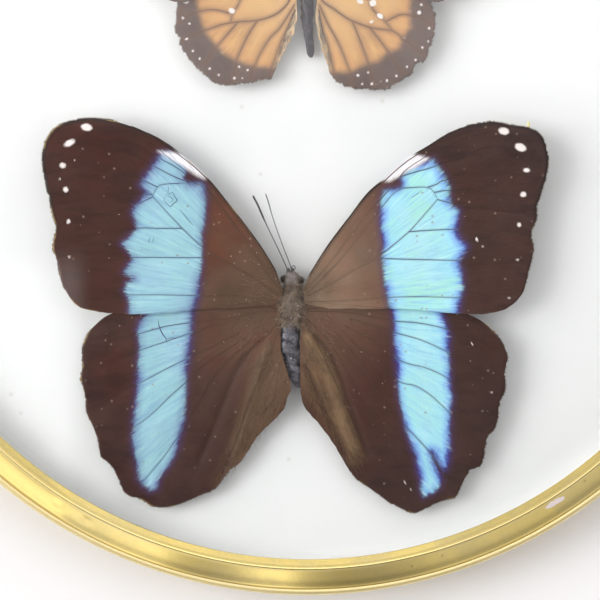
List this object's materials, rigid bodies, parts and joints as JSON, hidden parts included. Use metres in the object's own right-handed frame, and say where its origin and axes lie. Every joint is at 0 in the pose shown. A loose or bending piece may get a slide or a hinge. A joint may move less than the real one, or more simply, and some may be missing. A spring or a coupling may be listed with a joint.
{
  "type": "framed butterfly specimen",
  "caption": "Round brass frame with a clear domed glass over a white card, on which a large blue-banded butterfly and a smaller orange one are mounted spread, seen from above.",
  "frame": {"origin": "middle of the round frame, in the plane of the rim's rear edge that it lies on", "axes": "+Z out of the glass front, +Y up the frame towards the butterflies' heads and the hanger, +X to the right seen from the front"},
  "size_m": [0.204, 0.204, 0.0286],
  "materials": {
    "brass": "polished, lightly brushed and worn",
    "glass": "clear, smooth",
    "white_card": "matt white",
    "fibre_board": "matt brown fibre board",
    "plated_steel": "brass plated, dull",
    "blue_forewing_scales": "brown scales with a metallic blue band, white spots near the tip",
    "blue_hindwing_scales": "brown scales with a metallic blue band, tan hair at the inner edge",
    "orange_forewing_scales": "orange scales, dark edges with white dots",
    "orange_hindwing_scales": "orange scales, dark veins, dark border with white dots",
    "dark_chitin": "dark, slightly glossy, hairy"
  },
  "bodies": {
    "root": {"rim": "brass", "domed_glass": "glass", "mount_card": "white_card", "spacer_ring": "white_card", "back_board": "fibre_board", "saw_tooth_hanger": "plated_steel", "hanger_nail_left": "plated_steel", "hanger_nail_right": "plated_steel", "blue_left_forewing": "blue_forewing_scales", "blue_right_forewing": "blue_forewing_scales", "blue_left_hindwing": "blue_hindwing_scales", "blue_right_hindwing": "blue_hindwing_scales", "blue_body": "dark_chitin", "blue_left_antenna": "dark_chitin", "blue_right_antenna": "dark_chitin", "orange_left_forewing": "orange_forewing_scales", "orange_right_forewing": "orange_forewing_scales", "orange_left_hindwing": "orange_hindwing_scales", "orange_right_hindwing": "orange_hindwing_scales", "orange_body": "dark_chitin", "orange_left_antenna": "dark_chitin", "orange_right_antenna": "dark_chitin"}
  },
  "joints": []
}
